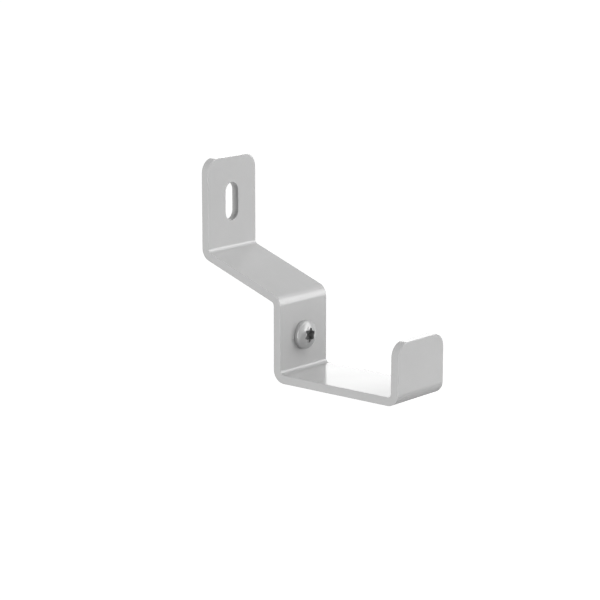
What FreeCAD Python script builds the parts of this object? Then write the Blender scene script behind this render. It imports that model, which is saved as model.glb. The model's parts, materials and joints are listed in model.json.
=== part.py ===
import FreeCAD, Part
import math
import os

# Wall bracket for a cable tray: one steel strip folded four times, and the screw that holds the tray.
# Millimetres and degrees. Origin: centre of the wall slot, on the wall plane. +Z is up, the wall lies
# on the plane Y = 0 and the bracket stands out from it towards -Y, the same on both sides of X = 0.

# Flat strip
strip_width = 25.0
strip_thickness = 3.0
bend_inside_radius = 1.5
end_corner_radius = 5.0
edge_break = 0.15

# Wall tab: its height runs from the top edge to the fold line on the front
tab_height = 32.5
slot_below_top = 16.0
slot_width = 6.6
slot_travel = 7.0

# Sloping arm and drop plate: the standoff is from the wall to the drop plate's back
arm_slope = 20.0
drop_standoff = 33.0
drop_height = 27.0

# Shelf and lip: the space that takes the tray
seat_depth = 48.0
lip_height = 18.5

# Tray screw, with its thread drawn plain
screw_above_shelf = 12.3
thread_diameter = 5.0
thread_clearance = 0.05
hole_countersink = 0.3
screw_length = 10.0
tip_chamfer = 0.7
head_diameter = 10.0
head_height = 3.4
head_crown_radius = 8.0
head_rim_radius = 1.0

# Six-lobe recess in the screw's head, with a pointed floor. Its turn is clockwise, seen from the front
recess_width = 5.2
recess_waist = 3.75
recess_lobe_radius = 0.58
recess_turn = 10.0
recess_depth = 2.3
recess_point_angle = 120.0
LOBES = 6

# Places that follow from the sizes above, as distances from the wall and heights
tab_top = slot_below_top
arm_fold = tab_top - tab_height
drop_front = drop_standoff + strip_thickness
drop_fold = arm_fold - drop_standoff * math.tan(math.radians(arm_slope))
shelf_top = drop_fold - drop_height
lip_back = drop_front + seat_depth
lip_top = shelf_top + lip_height
screw_height = shelf_top + screw_above_shelf

SHARP_ANGLE = 30.0
NEAR = 1e-6
ALONG_X = FreeCAD.Vector(1, 0, 0)
ALONG_Y = FreeCAD.Vector(0, 1, 0)
ALONG_Z = FreeCAD.Vector(0, 0, 1)


def side_point(from_wall, height):
    """A point of the side view, on the plane X = 0."""
    return FreeCAD.Vector(0, -from_wall, height)


def offset_path(corners, distance):
    """The corners of a path that runs beside the given one, on the side towards the wall and the floor."""
    normals = []
    for start, end in zip(corners, corners[1:]):
        normals.append(ALONG_X.cross((end - start).normalize()))
    moved = [corners[0] + normals[0] * distance]
    for corner, before, after in zip(corners[1:], normals, normals[1:]):
        mitre = (before + after) * (1.0 / (1.0 + before.dot(after)))
        moved.append(corner + mitre * distance)
    moved.append(corners[-1] + normals[-1] * distance)
    return moved


def rounded_edges(corners, radii):
    """Straight edges between the corners, with a tangent arc of the given radius at each inner corner."""
    edges = []
    start = corners[0]
    for before, corner, after, radius in zip(corners, corners[1:], corners[2:], radii):
        back = (before - corner).normalize()
        ahead = (after - corner).normalize()
        half_angle = back.getAngle(ahead) / 2
        run = radius / math.tan(half_angle)
        middle = (back + ahead).normalize()
        centre = corner + middle * (radius / math.sin(half_angle))
        arc_start = corner + back * run
        arc_end = corner + ahead * run
        edges.append(Part.LineSegment(start, arc_start).toShape())
        edges.append(Part.Arc(arc_start, centre - middle * radius, arc_end).toShape())
        start = arc_end
    edges.append(Part.LineSegment(start, corners[-1]).toShape())
    return edges


def folded_strip():
    """The strip bent to its side view, with square ends and no holes."""
    upper = [
        side_point(strip_thickness, tab_top),
        side_point(strip_thickness, arm_fold),
        side_point(drop_front, drop_fold),
        side_point(drop_front, shelf_top),
        side_point(lip_back, shelf_top),
        side_point(lip_back, lip_top),
    ]
    lower = offset_path(upper, strip_thickness)
    inside = bend_inside_radius
    outside = bend_inside_radius + strip_thickness
    # The arm folds away from its upper side at the drop plate, and towards it at the other three folds
    edges = rounded_edges(upper, [inside, outside, inside, inside])
    edges += rounded_edges(lower, [outside, inside, outside, outside])
    edges.append(Part.LineSegment(upper[0], lower[0]).toShape())
    edges.append(Part.LineSegment(upper[-1], lower[-1]).toShape())
    outline = Part.Wire(Part.__sortEdges__(edges))
    outline.translate(ALONG_X * (-strip_width / 2))
    return Part.Face(outline).extrude(ALONG_X * strip_width)


def end_corner_edges(shape):
    """The short edges at the outer corners of the tab's and the lip's top edges."""
    found = []
    for edge in shape.Edges:
        box = edge.BoundBox
        at_side = box.XLength < NEAR and abs(abs(box.XMin) - strip_width / 2) < NEAR
        at_end = box.ZLength < NEAR and min(abs(box.ZMin - tab_top), abs(box.ZMin - lip_top)) < NEAR
        if at_side and at_end:
            found.append(edge)
    return found


def upright_slot():
    """The wall slot's cutter: a round-ended bar through the tab."""
    radius = slot_width / 2
    half_travel = slot_travel / 2
    corners = [
        FreeCAD.Vector(-radius, 0, -half_travel),
        FreeCAD.Vector(-radius, 0, half_travel),
        FreeCAD.Vector(radius, 0, half_travel),
        FreeCAD.Vector(radius, 0, -half_travel),
    ]
    top = ALONG_Z * (half_travel + radius)
    edges = [
        Part.LineSegment(corners[0], corners[1]).toShape(),
        Part.Arc(corners[1], top, corners[2]).toShape(),
        Part.LineSegment(corners[2], corners[3]).toShape(),
        Part.Arc(corners[3], top * -1, corners[0]).toShape(),
    ]
    face = Part.Face(Part.Wire(edges))
    face.translate(ALONG_Y * strip_thickness)
    return face.extrude(ALONG_Y * (-3 * strip_thickness))


def tapped_hole():
    """The screw hole's cutter, through the drop plate, with a small countersink at each face."""
    radius = thread_diameter / 2
    start = side_point(drop_front + strip_thickness, screw_height)
    hole = Part.makeCylinder(radius, 3 * strip_thickness, start, ALONG_Y)
    for face, inward in ((drop_front, ALONG_Y), (drop_standoff, ALONG_Y * -1)):
        # Each cone starts as far outside the face as it ends inside, and narrows to the hole's radius
        outside = side_point(face, screw_height) - inward * hole_countersink
        cone = Part.makeCone(radius + 2 * hole_countersink, radius, 2 * hole_countersink, outside, inward)
        hole = hole.fuse(cone)
    return hole


def normal_beside(face, point):
    """The face's outward normal at the point of it nearest to the given one."""
    u, v = face.Surface.parameter(point)
    return face.normalAt(u, v)


def sharp_edges(shape):
    """The edges where two faces meet at an angle, not those where one runs smoothly into the next."""
    found = []
    for edge in shape.Edges:
        faces = shape.ancestorsOfType(edge, Part.Face)
        if len(faces) != 2:
            continue
        point = edge.valueAt((edge.FirstParameter + edge.LastParameter) / 2)
        angle = normal_beside(faces[0], point).getAngle(normal_beside(faces[1], point))
        if math.degrees(angle) > SHARP_ANGLE:
            found.append(edge)
    return found


def strip_bracket():
    """The finished strip: folded, rounded at its ends, slotted, its edges broken all round, and tapped."""
    strip = folded_strip()
    strip = strip.makeFillet(end_corner_radius, end_corner_edges(strip))
    strip = strip.cut(upright_slot())
    strip = strip.makeFillet(edge_break, sharp_edges(strip))
    return strip.cut(tapped_hole())


def screw_blank():
    """The screw without its recess, along +Z, with the head's underside on Z = 0 and the shank below."""
    head_radius = head_diameter / 2
    shank_radius = thread_diameter / 2 - thread_clearance
    crown_centre = FreeCAD.Vector(0, 0, head_height - head_crown_radius)
    # The rim's rounding is a circle inside the crown's sphere and inside the head's side
    rim_x = head_radius - head_rim_radius
    rim_reach = head_crown_radius - head_rim_radius
    rim_z = crown_centre.z + math.sqrt(rim_reach**2 - rim_x**2)
    rim_centre = FreeCAD.Vector(rim_x, 0, rim_z)
    outward = (rim_centre - crown_centre).normalize()
    crown_end = crown_centre + outward * head_crown_radius
    rim_end = rim_centre + ALONG_X * head_rim_radius
    rim_middle = rim_centre + (outward + ALONG_X).normalize() * head_rim_radius
    crown_top = FreeCAD.Vector(0, 0, head_height)
    crown_middle = crown_centre + (outward + ALONG_Z).normalize() * head_crown_radius
    straight = [
        rim_end,
        FreeCAD.Vector(head_radius, 0, 0),
        FreeCAD.Vector(shank_radius, 0, 0),
        FreeCAD.Vector(shank_radius, 0, tip_chamfer - screw_length),
        FreeCAD.Vector(shank_radius - tip_chamfer, 0, -screw_length),
        FreeCAD.Vector(0, 0, -screw_length),
        crown_top,
    ]
    edges = [
        Part.Arc(crown_top, crown_middle, crown_end).toShape(),
        Part.Arc(crown_end, rim_middle, rim_end).toShape(),
    ]
    for start, end in zip(straight, straight[1:]):
        edges.append(Part.LineSegment(start, end).toShape())
    return Part.Face(Part.Wire(edges)).revolve(FreeCAD.Vector(), ALONG_Z, 360)


def lobed_outline():
    """The recess's outline: small outward lobes joined by larger hollows, all tangent."""
    step = 2 * math.pi / LOBES
    lobe_centre = recess_width / 2 - recess_lobe_radius
    waist_radius = recess_waist / 2
    spread = lobe_centre * math.cos(step / 2)
    # The hollow's radius that makes it touch both neighbouring lobes
    over = recess_lobe_radius**2 - lobe_centre**2 - waist_radius**2 + 2 * spread * waist_radius
    hollow_radius = over / (2 * (waist_radius - spread - recess_lobe_radius))
    hollow_centre = waist_radius + hollow_radius

    def polar(radius, angle):
        return FreeCAD.Vector(radius * math.cos(angle), radius * math.sin(angle), 0)

    def touch(lobe_angle, hollow_angle):
        lobe = polar(lobe_centre, lobe_angle)
        towards = (polar(hollow_centre, hollow_angle) - lobe).normalize()
        return lobe + towards * recess_lobe_radius

    edges = []
    for index in range(LOBES):
        # The first lobe stands upright but for the screw's turn
        angle = math.pi / 2 - math.radians(recess_turn) + index * step
        before = touch(angle, angle - step / 2)
        after = touch(angle, angle + step / 2)
        following = touch(angle + step, angle + step / 2)
        edges.append(Part.Arc(before, polar(recess_width / 2, angle), after).toShape())
        edges.append(Part.Arc(after, polar(waist_radius, angle + step / 2), following).toShape())
    return Part.Wire(edges)


def lobed_recess():
    """The recess's cutter, reaching down from above the crown to a shallow point."""
    slant = math.tan(math.radians(recess_point_angle / 2))
    point = head_height - recess_depth - recess_width / 2 / slant
    reach = head_height + recess_depth - point
    prism = Part.Face(lobed_outline()).extrude(ALONG_Z * reach)
    prism.translate(ALONG_Z * point)
    return prism.common(Part.makeCone(0, reach * slant, reach, ALONG_Z * point))


def tray_screw():
    """The finished screw, in its hole, with the head on the drop plate's front."""
    screw = screw_blank().cut(lobed_recess())
    # Turned so that the head faces away from the wall
    screw.rotate(FreeCAD.Vector(), ALONG_X, 90)
    screw.translate(side_point(drop_front, screw_height))
    return screw


os.makedirs("parts", exist_ok=True)
strip_bracket().exportStep("parts/strip_bracket.step")
tray_screw().exportStep("parts/tray_screw.step")
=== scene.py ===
import json
import math

import bmesh
import bpy
from mathutils import Matrix, Quaternion, Vector
from mathutils.geometry import delaunay_2d_cdt


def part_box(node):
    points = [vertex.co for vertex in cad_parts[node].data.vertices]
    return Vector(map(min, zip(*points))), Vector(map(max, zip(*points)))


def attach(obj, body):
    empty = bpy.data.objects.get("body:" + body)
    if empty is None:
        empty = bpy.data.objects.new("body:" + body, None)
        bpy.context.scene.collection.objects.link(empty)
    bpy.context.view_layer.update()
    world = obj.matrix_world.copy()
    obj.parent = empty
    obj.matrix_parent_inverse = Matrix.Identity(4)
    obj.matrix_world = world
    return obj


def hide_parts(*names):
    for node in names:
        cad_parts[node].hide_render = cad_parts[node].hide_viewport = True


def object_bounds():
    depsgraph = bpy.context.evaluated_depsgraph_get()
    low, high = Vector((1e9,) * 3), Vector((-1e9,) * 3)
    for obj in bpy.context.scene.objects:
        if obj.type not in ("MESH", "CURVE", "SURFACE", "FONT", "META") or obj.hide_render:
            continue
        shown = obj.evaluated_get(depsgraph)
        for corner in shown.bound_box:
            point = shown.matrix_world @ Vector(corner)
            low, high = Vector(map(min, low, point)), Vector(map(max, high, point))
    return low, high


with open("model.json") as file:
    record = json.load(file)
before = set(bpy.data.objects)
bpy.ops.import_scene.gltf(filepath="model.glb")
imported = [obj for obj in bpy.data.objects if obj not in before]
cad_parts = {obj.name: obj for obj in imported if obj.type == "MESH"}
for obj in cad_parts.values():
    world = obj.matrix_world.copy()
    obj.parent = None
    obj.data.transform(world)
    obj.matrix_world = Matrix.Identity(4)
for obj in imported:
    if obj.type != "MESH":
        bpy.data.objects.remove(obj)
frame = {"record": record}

# Wall bracket for a cable tray: a folded and coated steel strip, and the screw in its drop plate.
# Metres, in the part's own frame: +Z up, the wall on the plane Y = 0, the bracket on its -Y side.

MM = 0.001
cad_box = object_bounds()

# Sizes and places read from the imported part
mounts = {mount["name"]: mount for mount in frame["record"]["mounts"]}
strip_low, strip_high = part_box("strip_bracket")
screw_low, screw_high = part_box("tray_screw")
head_seat = Vector(mounts["tray_screw_head"]["pos_m"])
shelf_top = mounts["tray_rest"]["pos_m"][2]
slot_height = mounts["wall_slot"]["pos_m"][2]
slot_radius = mounts["wall_slot"]["dims"]["hole_r_mm"] * MM
slot_length = mounts["wall_slot"]["dims"]["slot_length_mm"] * MM
strip_width = strip_high.x - strip_low.x
strip_thickness = shelf_top - strip_low.z
tab_top = strip_high.z
drop_front = -head_seat.y
lip_back = -strip_low.y - strip_thickness
head_radius = (screw_high.x - screw_low.x) / 2
screw_length = screw_high.y - head_seat.y

# Strip: sizes of its folds, ends and edges
TAB_HEIGHT = 32.5 * MM
LIP_HEIGHT = 18.5 * MM
ARM_SLOPE = math.radians(20)
BEND_INSIDE_RADIUS = 1.5 * MM
END_CORNER_RADIUS = 5 * MM
EDGE_BREAK = 0.15 * MM

# Screw: pan head, six-lobe recess and M5 thread
HEAD_HEIGHT = 3.4 * MM
CROWN_RADIUS = 8 * MM
RIM_RADIUS = 1 * MM
FOOT_RADIUS = 0.12 * MM
LOBES = 6
RECESS_WIDTH = 5.2 * MM
RECESS_WAIST = 3.75 * MM
LOBE_RADIUS = 0.58 * MM
RECESS_TURN = math.radians(10)
RECESS_DEPTH = 2.3 * MM
RECESS_FLOOR_SLOPE = math.radians(30)
MOUTH_BREAK = 0.15 * MM
THREAD_RADIUS = 2.45 * MM
THREAD_PITCH = 0.8 * MM
THREAD_DEPTH = 0.44 * MM
THREAD_CREST = THREAD_PITCH / 8
THREAD_FLANK = math.radians(30)
THREAD_GAP = 0.03 * MM
TIP_CHAMFER = 0.7 * MM
HOLE_CHAMFER = 0.3 * MM

# Fineness of the meshes
BEND_STEP = math.radians(4)
CORNER_STEPS = 24
EDGE_STEPS = 4
TURN_STEPS = 120
THREAD_STEPS = 16
CROWN_STEPS = 10
RIM_STEPS = 8
FOOT_STEPS = 3
SHARP_ANGLE = math.radians(40)
FACE_AREA_WEIGHT = 100
ROUNDING = 1e-9

# Rings of the recess, as shares of the way from its middle out, up its wall and around its mouth
FLOOR_SHARES = (0.15, 0.4, 0.7, 0.9, 1.0)
WALL_SHARES = (0.3, 0.65, 1.0)
MOUTH_SHARES = (0.5, 1.0)
# Painted shade on those rings, as shares of a dark colour mixed into the coat: it darkens towards the
# recess's floor
RECESS_PAINTED_SHADE = (0.7, 0.7, 0.7, 0.75, 0.8, 0.5, 0.35, 0.2, 0.1, 0.0)

# Finishes: greys from 0 for black to 1 for white, and the sizes of their grain and relief
NOISE_LOW = 0.3
NOISE_HIGH = 0.7
COAT_IOR = 1.65
COAT_DARK = (0.49, 0.49, 0.49)
COAT_LIGHT = (0.514, 0.514, 0.514)
MOTTLE_SIZE = 14 * MM
PEEL_SIZE = 1.4 * MM
PEEL_DEPTH = 0.003 * MM
COAT_GRAIN_SIZE = 0.18 * MM
COAT_GRAIN_DEPTH = 0.0004 * MM
FLAKE_IOR = 1.95
FLAKE_DARK = (0.41, 0.412, 0.415)
FLAKE_LIGHT = (0.44, 0.44, 0.438)
DRIFT_SIZE = 2.5 * MM
FLAKE_GRAIN_SIZE = 0.12 * MM
FLAKE_GRAIN_DEPTH = 0.0006 * MM
# Painted shade in the recess: a dark colour mixed into the coat, with a matt roughness
RECESS_SHADE_COLOUR = (0.1, 0.1, 0.102)
RECESS_ROUGHNESS = 0.9
SATIN_ROUGHNESS = (0.15, 0.21)

# Camera, as fitted to the straight edges of the photographed strip
CAMERA_PLACE = Vector((-541.805, -490.251, 120.441)) * MM
CAMERA_YAW = math.radians(49.923)
CAMERA_PITCH = math.radians(12.099)
CAMERA_ROLL = math.radians(0.047)
LENS_MM = 125.244
SENSOR_MM = 36.0

# Studio: light levels, where 1 shows white as white, and distances in metres
SKY_LEVEL = 0.1
LAMP_DISTANCE = 1.2
FLOOR_HEIGHT = -0.45
FLOOR_SIZE = 30.0
FLOOR_WHITE = 0.4
NEAR_DISTANCE = 0.5
NEAR_LIFT = 0.78
FAR_DISTANCE = 1.8
FAR_LIFT = 1.0
# A grey sheet below on the right, unseen by the camera and casting no shadow, put there only so that the
# lip's lower bend mirrors it as a darker band: painted shade
CARD_LOW = Vector((0.08, -0.27))
CARD_HIGH = Vector((0.34, 0.05))
CARD_HEIGHT = -0.16
SHADE_CARD_GREY = 0.58


class Shell:
    """Points and faces of a mesh as it is built up from rings."""

    def __init__(self):
        self.points = []
        self.faces = []
        self.painted_shade = []

    def ring(self, points, painted_shade=0.0):
        """Adds points and returns their numbers. The share given with them is painted shade, darkening
        their colour.
        """
        first = len(self.points)
        self.points.extend(points)
        self.painted_shade += [painted_shade] * len(points)
        return list(range(first, len(self.points)))

    def bridge(self, ring, following):
        """Faces between two closed rings with the same number of points."""
        for index in range(len(ring)):
            after = (index + 1) % len(ring)
            self.faces.append((ring[index], ring[after], following[after], following[index]))

    def fan(self, ring, point, painted_shade=0.0):
        """Faces from a closed ring to one point."""
        tip = self.ring([point], painted_shade)[0]
        for index in range(len(ring)):
            self.faces.append((ring[index], ring[(index + 1) % len(ring)], tip))

    def piece(self, name):
        """The finished object, smooth apart from its sharp edges."""
        mesh = bpy.data.meshes.new(name)
        mesh.from_pydata(self.points, [], self.faces)
        # The rings' painted shade shares, kept on the mesh for the material
        mesh.attributes.new("painted_shade", "FLOAT", "POINT").data.foreach_set("value", self.painted_shade)
        work = bmesh.new()
        work.from_mesh(mesh)
        bmesh.ops.recalc_face_normals(work, faces=work.faces)
        work.to_mesh(mesh)
        work.free()
        mesh.shade_smooth()
        mesh.set_sharp_from_angle(angle=SHARP_ANGLE)
        made = bpy.data.objects.new(name, mesh)
        bpy.context.scene.collection.objects.link(made)
        even = made.modifiers.new("even_shading", "WEIGHTED_NORMAL")
        even.keep_sharp = True
        even.weight = FACE_AREA_WEIGHT
        return made


# Folding: the strip is drawn flat, with u across it, v along its middle plane and w through it


def turned(vector, angle):
    """A vector of the side view, turned anticlockwise."""
    return Vector((
        vector.x * math.cos(angle) - vector.y * math.sin(angle),
        vector.x * math.sin(angle) + vector.y * math.cos(angle),
    ))


class Fold:
    """The strip's middle line in the side view, as runs and bends. Side points are (from wall, height)."""

    def __init__(self, corners, headings, bend_radius):
        self.radius = bend_radius
        self.runs = []
        self.bends = []
        along = 0.0
        start = corners[0]
        for index, heading in enumerate(headings):
            ahead = Vector((math.cos(heading), math.sin(heading)))
            end = corners[index + 1]
            turn = headings[index + 1] - heading if index + 1 < len(headings) else 0.0
            cut = bend_radius * math.tan(abs(turn) / 2)
            length = (end - start).length - cut
            self.runs.append((along, start, ahead))
            along += length
            if turn:
                self.bends.append((along, start + ahead * length, ahead, turn))
                along += bend_radius * abs(turn)
                start = end + turned(ahead, turn) * cut
        self.length = along

    def middle(self, v):
        """The middle line's point and direction at the distance v along it."""
        for along, start, ahead, turn in self.bends:
            reach = v - along
            if 0 < reach < self.radius * abs(turn):
                side = math.copysign(1, turn)
                to_centre = turned(ahead, math.pi / 2) * side * self.radius
                angle = side * reach / self.radius
                return start + to_centre - turned(to_centre, angle), turned(ahead, angle)
        along, start, ahead = [run for run in self.runs if run[0] <= v + ROUNDING][-1]
        return start + ahead * (v - along), ahead

    def place(self, u, v, w):
        """The place in space of a point of the flat strip."""
        point, ahead = self.middle(v)
        point = point + turned(ahead, math.pi / 2) * w
        return Vector((u, -point.x, point.y))

    def bend_rows(self):
        """The distances along the strip at which the bends are divided."""
        rows = []
        for along, _, _, turn in self.bends:
            steps = math.ceil(abs(turn) / BEND_STEP)
            rows += [along + self.radius * abs(turn) * step / steps for step in range(steps + 1)]
        return rows


def strip_fold():
    """The bracket's four bends, from the tab's top to the lip's top."""
    half = strip_thickness / 2
    down = -math.pi / 2
    headings = [down, -ARM_SLOPE, down, 0.0, math.pi / 2]
    arm_fold = tab_top - TAB_HEIGHT
    drop_fold = arm_fold - (drop_front - strip_thickness) * math.tan(ARM_SLOPE)
    upper = [
        Vector((strip_thickness, tab_top)),
        Vector((strip_thickness, arm_fold)),
        Vector((drop_front, drop_fold)),
        Vector((drop_front, shelf_top)),
        Vector((lip_back, shelf_top)),
        Vector((lip_back, shelf_top + LIP_HEIGHT)),
    ]
    # The middle plane lies half the thickness below the upper side, on the mitre at each corner
    middle = []
    for index, corner in enumerate(upper):
        before = headings[max(index - 1, 0)]
        after = headings[min(index, len(headings) - 1)]
        mitre = half / math.cos((after - before) / 2)
        towards = (before + after) / 2 - math.pi / 2
        middle.append(corner + Vector((math.cos(towards), math.sin(towards))) * mitre)
    return Fold(middle, headings, BEND_INSIDE_RADIUS + half)


def arc(centre, radius, start, end, steps):
    """Points of an arc with their outward directions."""
    found = []
    for step in range(steps + 1):
        angle = start + (end - start) * step / steps
        outward = Vector((math.cos(angle), math.sin(angle)))
        found.append((centre + outward * radius, outward))
    return found


def strip_outline(fold):
    """The flat strip's outline, with its outward directions, and the bend rows' places in it."""
    half = strip_width / 2
    reach = half - END_CORNER_RADIUS
    near = END_CORNER_RADIUS
    far = fold.length - END_CORNER_RADIUS
    rows = fold.bend_rows()
    quarter = math.pi / 2

    def corner(across, along, start, end):
        return arc(Vector((across, along)), END_CORNER_RADIUS, start, end, CORNER_STEPS)

    outline = corner(-reach, near, -quarter, -2 * quarter)
    left_first = len(outline)
    outline += [(Vector((-half, v)), Vector((-1, 0))) for v in rows]
    outline += corner(-reach, far, 2 * quarter, quarter)
    outline += corner(reach, far, quarter, 0)
    right_first = len(outline)
    outline += [(Vector((half, v)), Vector((1, 0))) for v in reversed(rows)]
    outline += corner(reach, near, 0, -quarter)
    right_last = right_first + len(rows) - 1
    return outline, [(left_first + row, right_last - row) for row in range(len(rows))]


def slot_outline(centre):
    """The wall slot's outline. The outward directions point into the slot, away from the metal."""
    travel = Vector((0, slot_length / 2 - slot_radius))
    ends = arc(centre + travel, slot_radius, 0, math.pi, CORNER_STEPS)
    ends += arc(centre - travel, slot_radius, math.pi, 2 * math.pi, CORNER_STEPS)
    return [(point, -outward) for point, outward in ends]


def broken_edges():
    """How far in and how high each ring of a wall with rounded edges lies, from the upper side down."""
    half = strip_thickness / 2
    upper = []
    for step in range(EDGE_STEPS + 1):
        angle = math.pi / 2 * step / EDGE_STEPS
        upper.append((EDGE_BREAK * (1 - math.sin(angle)), half - EDGE_BREAK * (1 - math.cos(angle))))
    return upper + [(inset, -w) for inset, w in reversed(upper)]


def wall_rings(shell, fold, outline):
    """The wall along an outline, with broken edges. Returns the flat points and rings of its two rims."""
    rings = []
    for inset, w in broken_edges():
        flat = [point - outward * inset for point, outward in outline]
        ring = shell.ring([fold.place(point.x, point.y, w) for point in flat])
        if rings:
            shell.bridge(rings[-1], ring)
        rings.append(ring)
    return flat, rings[0], rings[-1]


def thread_at(angle, height):
    """The screw thread's radius at an angle about its axis and a height above the head's seat."""
    turn = height / THREAD_PITCH - angle / (2 * math.pi)
    off_crest = abs(turn - round(turn)) * THREAD_PITCH
    fall = max(off_crest - THREAD_CREST / 2, 0) / math.tan(THREAD_FLANK)
    return THREAD_RADIUS - min(fall, THREAD_DEPTH)


def around():
    """The angles of a full turn."""
    return [2 * math.pi * step / TURN_STEPS for step in range(TURN_STEPS)]


def tapped_wall(shell, fold, centre):
    """The tapped hole's wall, chamfered at each face. Returns the flat points and rings of its two rims."""
    mouth = THREAD_RADIUS + THREAD_GAP
    deep = strip_thickness - HOLE_CHAMFER
    steps = round((deep - HOLE_CHAMFER) / THREAD_PITCH * THREAD_STEPS)
    levels = [(0.0, mouth + HOLE_CHAMFER), (HOLE_CHAMFER, mouth)]
    levels += [(HOLE_CHAMFER + (deep - HOLE_CHAMFER) * step / steps, None) for step in range(1, steps)]
    levels += [(deep, mouth), (strip_thickness, mouth + HOLE_CHAMFER)]
    rings = []
    for depth, radius in levels:
        flat = []
        for angle in around():
            out = radius or thread_at(angle, -depth) + THREAD_GAP
            flat.append(centre + Vector((math.cos(angle), -math.sin(angle))) * out)
        w = strip_thickness / 2 - depth
        ring = shell.ring([fold.place(point.x, point.y, w) for point in flat])
        if rings:
            shell.bridge(rings[-1], ring)
        rings.append(ring)
    return flat, rings[0], rings[-1]


def fill_sides(shell, rims, row_ends):
    """The strip's two sides, between the outline's rim and the holes' rims, split along the bend rows."""
    points = []
    edges = list(row_ends)
    rim_of = []
    for number, (flat, _, _) in enumerate(rims):
        first = len(points)
        points += [point / MM for point in flat]
        edges += [(first + index, first + (index + 1) % len(flat)) for index in range(len(flat))]
        rim_of += [number] * len(flat)
    inside_only = 1
    same_point = 1e-6
    _, _, triangles, given, _, _ = delaunay_2d_cdt(points, edges, [], inside_only, same_point, True)
    kept = []
    for triangle in triangles:
        corners = [given[corner][0] for corner in triangle]
        rims_met = {rim_of[corner] for corner in corners}
        # A triangle with all its corners on one hole's rim lies in that hole
        if 0 in rims_met or len(rims_met) > 1:
            kept.append(corners)
    for side in (1, 2):
        index = [corner for rim in rims for corner in rim[side]]
        shell.faces += [tuple(index[corner] for corner in corners) for corners in kept]


def build_strip():
    """The folded strip with its slot and tapped hole."""
    fold = strip_fold()
    shell = Shell()
    outline, row_ends = strip_outline(fold)
    drop_run = 2
    drop_along, drop_start, _ = fold.runs[drop_run]
    screw_along = drop_along + drop_start.y - head_seat.z
    rims = [
        wall_rings(shell, fold, outline),
        wall_rings(shell, fold, slot_outline(Vector((0, tab_top - slot_height)))),
        tapped_wall(shell, fold, Vector((0, screw_along))),
    ]
    fill_sides(shell, rims, row_ends)
    return shell.piece("folded_strip")


# Screw: rings about its axis, from the middle of the recess over the head and down to the tip


def lobe_outline():
    """The recess's radius at each angle: six lobes joined by hollows that touch them."""
    step = 2 * math.pi / LOBES
    lobe_at = RECESS_WIDTH / 2 - LOBE_RADIUS
    waist = RECESS_WAIST / 2
    spread = lobe_at * math.cos(step / 2)
    over = LOBE_RADIUS**2 - lobe_at**2 - waist**2 + 2 * spread * waist
    hollow_radius = over / (2 * (waist - spread - LOBE_RADIUS))
    hollow_at = waist + hollow_radius
    lobe = Vector((lobe_at, 0))
    hollow = Vector((math.cos(step / 2), math.sin(step / 2))) * hollow_at
    touch = lobe + (hollow - lobe).normalized() * LOBE_RADIUS
    change = math.atan2(touch.y, touch.x)
    radii = []
    for angle in around():
        turn = (angle - math.pi / 2 + RECESS_TURN) / step
        off = abs(turn - round(turn)) * step
        if off < change:
            across = lobe_at * math.sin(off)
            radii.append(lobe_at * math.cos(off) + math.sqrt(LOBE_RADIUS**2 - across**2))
        else:
            across = hollow_at * math.sin(step / 2 - off)
            radii.append(hollow_at * math.cos(step / 2 - off) - math.sqrt(hollow_radius**2 - across**2))
    return radii


def crown_at(radius):
    """The height of the head's domed top at a radius."""
    return HEAD_HEIGHT - CROWN_RADIUS + math.sqrt(CROWN_RADIUS**2 - radius**2)


def recess_rings():
    """The height of the recess's lowest point, and its rings from near there to its mouth in the crown."""
    lobes = lobe_outline()
    rise = math.tan(RECESS_FLOOR_SLOPE)
    point = HEAD_HEIGHT - RECESS_DEPTH - RECESS_WIDTH / 2 * rise
    rings = []
    for share in FLOOR_SHARES:
        rings.append([(radius * share, point + radius * share * rise) for radius in lobes])
    for share in WALL_SHARES:
        wall = []
        for radius in lobes:
            floor = point + radius * rise
            wall.append((radius, floor + (crown_at(radius) - MOUTH_BREAK - floor) * share))
        rings.append(wall)
    for share in MOUTH_SHARES:
        angle = math.pi / 2 * share
        out = MOUTH_BREAK * (1 - math.cos(angle))
        down = MOUTH_BREAK * (1 - math.sin(angle))
        rings.append([(radius + out, crown_at(radius + out) - down) for radius in lobes])
    return point, rings


def head_rings(mouth):
    """The crown from the recess's mouth outwards, the rim, the side and the underside."""
    crown_low = HEAD_HEIGHT - CROWN_RADIUS
    rim_x = head_radius - RIM_RADIUS
    rim_z = crown_low + math.sqrt((CROWN_RADIUS - RIM_RADIUS) ** 2 - rim_x**2)
    crown_end = math.atan2(rim_z - crown_low, rim_x)
    edge = rim_x + RIM_RADIUS * math.cos(crown_end)
    rings = []
    for step in range(1, CROWN_STEPS + 1):
        share = step / CROWN_STEPS
        radii = [radius + (edge - radius) * share for radius, _ in mouth]
        rings.append([(radius, crown_at(radius)) for radius in radii])
    profile = []
    for step in range(1, RIM_STEPS + 1):
        angle = crown_end * (1 - step / RIM_STEPS)
        profile.append((rim_x + RIM_RADIUS * math.cos(angle), rim_z + RIM_RADIUS * math.sin(angle)))
    for step in range(FOOT_STEPS + 1):
        angle = math.pi / 2 * step / FOOT_STEPS
        out = head_radius - FOOT_RADIUS * (1 - math.cos(angle))
        profile.append((out, FOOT_RADIUS * (1 - math.sin(angle))))
    return rings + [[point] * TURN_STEPS for point in profile]


def thread_rings():
    """The threaded shank from the head's seat down to its chamfered tip."""
    steps = round(screw_length / THREAD_PITCH * THREAD_STEPS)
    rings = []
    for step in range(steps + 1):
        height = -screw_length * step / steps
        tip = THREAD_RADIUS - max(TIP_CHAMFER - screw_length - height, 0)
        rings.append([(min(thread_at(angle, height), tip), height) for angle in around()])
    return rings


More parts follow.
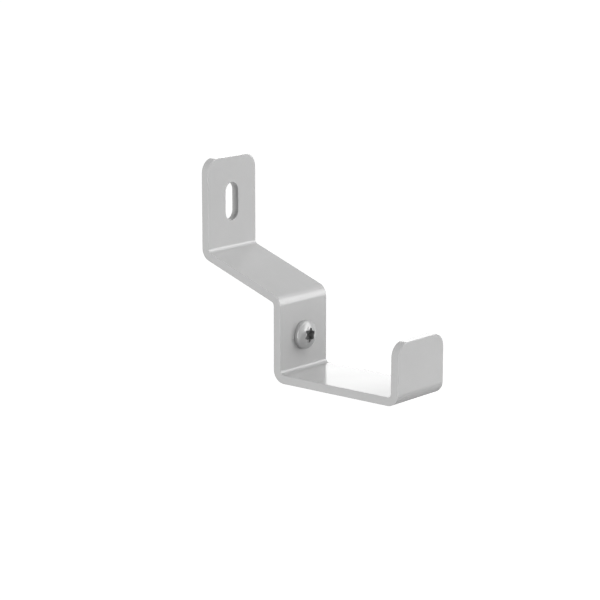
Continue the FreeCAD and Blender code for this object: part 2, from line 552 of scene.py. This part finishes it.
def build_screw():
    """The screw, head and thread in one piece."""
    shell = Shell()

    def place(angle, radius, height):
        across = Vector((math.cos(angle), 0, math.sin(angle))) * radius
        return head_seat + across - Vector((0, height, 0))

    bottom, rings = recess_rings()
    rings += head_rings(rings[-1])
    rings += thread_rings()
    # Painted shade on the recess rings, darker towards its floor; none on the rest of the screw
    painted_shade = list(RECESS_PAINTED_SHADE) + [0.0] * (len(rings) - len(RECESS_PAINTED_SHADE))
    made = []
    for ring, share in zip(rings, painted_shade):
        points = [place(angle, radius, height) for angle, (radius, height) in zip(around(), ring)]
        made.append(shell.ring(points, share))
    for ring, following in zip(made, made[1:]):
        shell.bridge(ring, following)
    shell.fan(made[0], place(0, 0, bottom), painted_shade[0])
    shell.fan(made[-1], place(0, 0, -screw_length))
    return shell.piece("pan_head_screw")


# Materials


class Nodes:
    """A material's node tree, with short calls for what the finishes share."""

    def __init__(self, name):
        self.material = bpy.data.materials.new(name)
        self.material.use_nodes = True
        self.tree = self.material.node_tree
        self.shader = self.tree.nodes["Principled BSDF"]
        self.place = self.add("ShaderNodeTexCoord").outputs["Object"]

    def add(self, kind):
        return self.tree.nodes.new(kind)

    def link(self, output, socket):
        self.tree.links.new(output, socket)

    def noise(self, size, detail):
        """A noise whose features are about the given size across."""
        node = self.add("ShaderNodeTexNoise")
        node.inputs["Scale"].default_value = 1 / size
        node.inputs["Detail"].default_value = detail
        self.link(self.place, node.inputs["Vector"])
        return node.outputs["Fac"]

    def between(self, value, low, high):
        """A noise spread over a range of values."""
        node = self.add("ShaderNodeMapRange")
        node.inputs["From Min"].default_value = NOISE_LOW
        node.inputs["From Max"].default_value = NOISE_HIGH
        node.inputs["To Min"].default_value = low
        node.inputs["To Max"].default_value = high
        self.link(value, node.inputs["Value"])
        return node.outputs["Result"]

    def shades(self, value, dark, light):
        """A noise spread between two colours."""
        node = self.add("ShaderNodeValToRGB")
        low, high = node.color_ramp.elements
        low.position = NOISE_LOW
        low.color = (*dark, 1)
        high.position = NOISE_HIGH
        high.color = (*light, 1)
        self.link(value, node.inputs["Fac"])
        return node.outputs["Color"]

    def bump(self, height, depth, below=None):
        """A surface relief of the given depth, on top of another."""
        node = self.add("ShaderNodeBump")
        node.inputs["Distance"].default_value = depth
        self.link(height, node.inputs["Height"])
        if below:
            self.link(below, node.inputs["Normal"])
        return node.outputs["Normal"]


def coat_material():
    """Smooth light grey coating: semi-gloss, with a faint orange peel."""
    nodes = Nodes("strip_coat")
    mottle = nodes.noise(MOTTLE_SIZE, detail=4)
    peel = nodes.noise(PEEL_SIZE, detail=1)
    grain = nodes.noise(COAT_GRAIN_SIZE, detail=2)
    shader = nodes.shader
    shader.inputs["IOR"].default_value = COAT_IOR
    nodes.link(nodes.shades(mottle, COAT_DARK, COAT_LIGHT), shader.inputs["Base Color"])
    nodes.link(nodes.between(grain, *SATIN_ROUGHNESS), shader.inputs["Roughness"])
    relief = nodes.bump(peel, PEEL_DEPTH)
    nodes.link(nodes.bump(grain, COAT_GRAIN_DEPTH, relief), shader.inputs["Normal"])
    return nodes.material


def flake_material():
    """Grey zinc flake coating: satin, with a fine grain, and painted shade that darkens the recess."""
    nodes = Nodes("screw_flake")
    drift = nodes.noise(DRIFT_SIZE, detail=3)
    grain = nodes.noise(FLAKE_GRAIN_SIZE, detail=3)
    # Painted shade: the recess rings' shares mix a dark colour into the coat and make it matt
    painted_shade = nodes.add("ShaderNodeAttribute")
    painted_shade.attribute_name = "painted_shade"
    shader = nodes.shader
    shader.inputs["IOR"].default_value = FLAKE_IOR
    coat = nodes.shades(drift, FLAKE_DARK, FLAKE_LIGHT)
    colour = nodes.add("ShaderNodeMix")
    colour.data_type = "RGBA"
    colour.inputs["B"].default_value = (*RECESS_SHADE_COLOUR, 1)
    nodes.link(painted_shade.outputs["Fac"], colour.inputs["Factor"])
    nodes.link(coat, colour.inputs["A"])
    nodes.link(colour.outputs["Result"], shader.inputs["Base Color"])
    gloss = nodes.add("ShaderNodeMapRange")
    gloss.inputs["To Max"].default_value = RECESS_ROUGHNESS
    nodes.link(painted_shade.outputs["Fac"], gloss.inputs["Value"])
    nodes.link(nodes.between(grain, *SATIN_ROUGHNESS), gloss.inputs["To Min"])
    nodes.link(gloss.outputs["Result"], shader.inputs["Roughness"])
    nodes.link(nodes.bump(grain, FLAKE_GRAIN_DEPTH), shader.inputs["Normal"])
    return nodes.material


# Studio


def seen_rays(tree):
    """1 for rays that show the surroundings: straight from the camera, mirrored, or through glass."""
    paths = tree.nodes.new("ShaderNodeLightPath")
    seen = paths.outputs["Is Camera Ray"]
    for kind in ("Is Glossy Ray", "Is Transmission Ray"):
        either = tree.nodes.new("ShaderNodeMath")
        either.operation = "MAXIMUM"
        tree.links.new(seen, either.inputs[0])
        tree.links.new(paths.outputs[kind], either.inputs[1])
        seen = either.outputs["Value"]
    return seen


def build_world():
    """Weak light from all round, which shows as plain white."""
    world = bpy.data.worlds.new("studio")
    world.use_nodes = True
    tree = world.node_tree
    light = tree.nodes["Background"]
    light.inputs["Color"].default_value = (1, 1, 1, 1)
    level = tree.nodes.new("ShaderNodeMapRange")
    level.inputs["To Min"].default_value = SKY_LEVEL
    level.inputs["To Max"].default_value = 1.0
    tree.links.new(seen_rays(tree), level.inputs["Value"])
    tree.links.new(level.outputs["Result"], light.inputs["Strength"])
    bpy.context.scene.world = world


def level_sheet(name, low, high, height, nodes, grey):
    """A level rectangle with a matt grey material, to which more nodes may be added."""
    mesh = bpy.data.meshes.new(name)
    corners = [(low.x, low.y), (high.x, low.y), (high.x, high.y), (low.x, high.y)]
    mesh.from_pydata([(x, y, height) for x, y in corners], [], [(0, 1, 2, 3)])
    sheet = bpy.data.objects.new(name, mesh)
    bpy.context.scene.collection.objects.link(sheet)
    nodes.shader.inputs["Base Color"].default_value = (grey, grey, grey, 1)
    nodes.shader.inputs["Roughness"].default_value = 1.0
    nodes.shader.inputs["Specular IOR Level"].default_value = 0.0
    mesh.materials.append(nodes.material)
    return sheet


def build_floor():
    """A plain pale floor, well below the bracket."""
    corner = Vector((FLOOR_SIZE, FLOOR_SIZE)) / 2
    nodes = Nodes("floor_white")
    floor = level_sheet("floor", -corner, corner, FLOOR_HEIGHT, nodes, FLOOR_WHITE)
    nodes.shader.inputs["Emission Color"].default_value = (1, 1, 1, 1)
    # The lamps fade with distance, so the floor is lifted to white by more the further away it is
    away = nodes.add("ShaderNodeVectorMath")
    away.operation = "LENGTH"
    nodes.link(nodes.place, away.inputs["Vector"])
    level = nodes.add("ShaderNodeMapRange")
    level.inputs["From Min"].default_value = NEAR_DISTANCE
    level.inputs["From Max"].default_value = FAR_DISTANCE
    level.inputs["To Min"].default_value = NEAR_LIFT
    level.inputs["To Max"].default_value = FAR_LIFT
    nodes.link(away.outputs["Value"], level.inputs["Value"])
    lift = nodes.add("ShaderNodeMath")
    lift.operation = "MULTIPLY"
    nodes.link(level.outputs["Result"], lift.inputs[0])
    nodes.link(seen_rays(nodes.tree), lift.inputs[1])
    nodes.link(lift.outputs["Value"], nodes.shader.inputs["Emission Strength"])


def build_shade_card():
    """A grey card low on the right, which the lip's lower bend mirrors as a darker band: painted shade. The
    camera doesn't see it, and it casts no shadow.
    """
    shade_card = level_sheet("shade_card", CARD_LOW, CARD_HIGH, CARD_HEIGHT, Nodes("shade_card_grey"), SHADE_CARD_GREY)
    shade_card.visible_camera = False
    shade_card.visible_shadow = False


def softbox(name, azimuth, elevation, wide, tall, level, roll=0, mirrored=True):
    """A soft lamp as bright as the level times white. Angles are in degrees, as seen from the bracket.

    The azimuth runs from straight ahead of the bracket towards +X, and the roll lifts the lamp's end on
    that side. A lamp that isn't mirrored makes no highlight of its own.
    """
    bearing = math.radians(azimuth)
    rise = math.radians(elevation)
    flat = math.cos(rise)
    direction = Vector((math.sin(bearing) * flat, -math.cos(bearing) * flat, math.sin(rise)))
    lamp = bpy.data.lights.new(name, "AREA")
    lamp.shape = "RECTANGLE"
    lamp.size = 2 * LAMP_DISTANCE * math.tan(math.radians(wide / 2))
    lamp.size_y = 2 * LAMP_DISTANCE * math.tan(math.radians(tall / 2))
    lamp.energy = level * math.pi * lamp.size * lamp.size_y
    low, high = cad_box
    placed = bpy.data.objects.new(name, lamp)
    placed.location = (low + high) / 2 + direction * LAMP_DISTANCE
    placed.rotation_mode = "QUATERNION"
    tilt = Quaternion((0, 0, 1), math.radians(roll))
    placed.rotation_quaternion = direction.to_track_quat("Z", "Y") @ tilt
    placed.visible_camera = False
    placed.visible_glossy = mirrored
    bpy.context.scene.collection.objects.link(placed)


def build_lamps():
    """Six lamps: for the bends, the head's highlight, the front, the left side, the top and the shelf."""
    softbox("key", azimuth=52, elevation=17, wide=16, tall=40, level=3.3)
    softbox("long", azimuth=25, elevation=20, wide=34, tall=15, level=3.55, roll=32)
    softbox("front", azimuth=2, elevation=3, wide=36, tall=26, level=4.2, mirrored=False)
    softbox("left", azimuth=-99, elevation=8, wide=28, tall=64, level=5.05)
    softbox("above", azimuth=40, elevation=55, wide=50, tall=30, level=2.05)
    softbox("horizon", azimuth=130, elevation=12, wide=49, tall=19, level=1.62)


def build_camera():
    """The camera at the photograph's viewing angle."""
    level = Vector((math.sin(CAMERA_YAW), math.cos(CAMERA_YAW), 0))
    ahead = level * math.cos(CAMERA_PITCH) - Vector((0, 0, math.sin(CAMERA_PITCH)))
    right = Vector((math.cos(CAMERA_YAW), -math.sin(CAMERA_YAW), 0))
    up = right.cross(ahead)
    turn = Matrix((right, up, -ahead)).transposed() @ Matrix.Rotation(CAMERA_ROLL, 3, "Z")
    lens = bpy.data.cameras.new("camera")
    lens.lens = LENS_MM
    lens.sensor_width = SENSOR_MM
    camera = bpy.data.objects.new("camera", lens)
    camera.matrix_world = Matrix.LocRotScale(CAMERA_PLACE, turn.to_quaternion(), None)
    bpy.context.scene.collection.objects.link(camera)
    bpy.context.scene.camera = camera


def finish_piece(piece, node, material):
    """Gives the piece its finish and puts it in place of its node."""
    piece.data.materials.append(material)
    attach(piece, "root")
    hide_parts(node)


finish_piece(build_strip(), "strip_bracket", coat_material())
finish_piece(build_screw(), "tray_screw", flake_material())
build_world()
build_floor()
build_shade_card()
build_lamps()
build_camera()
bpy.context.scene.view_settings.view_transform = "Standard"
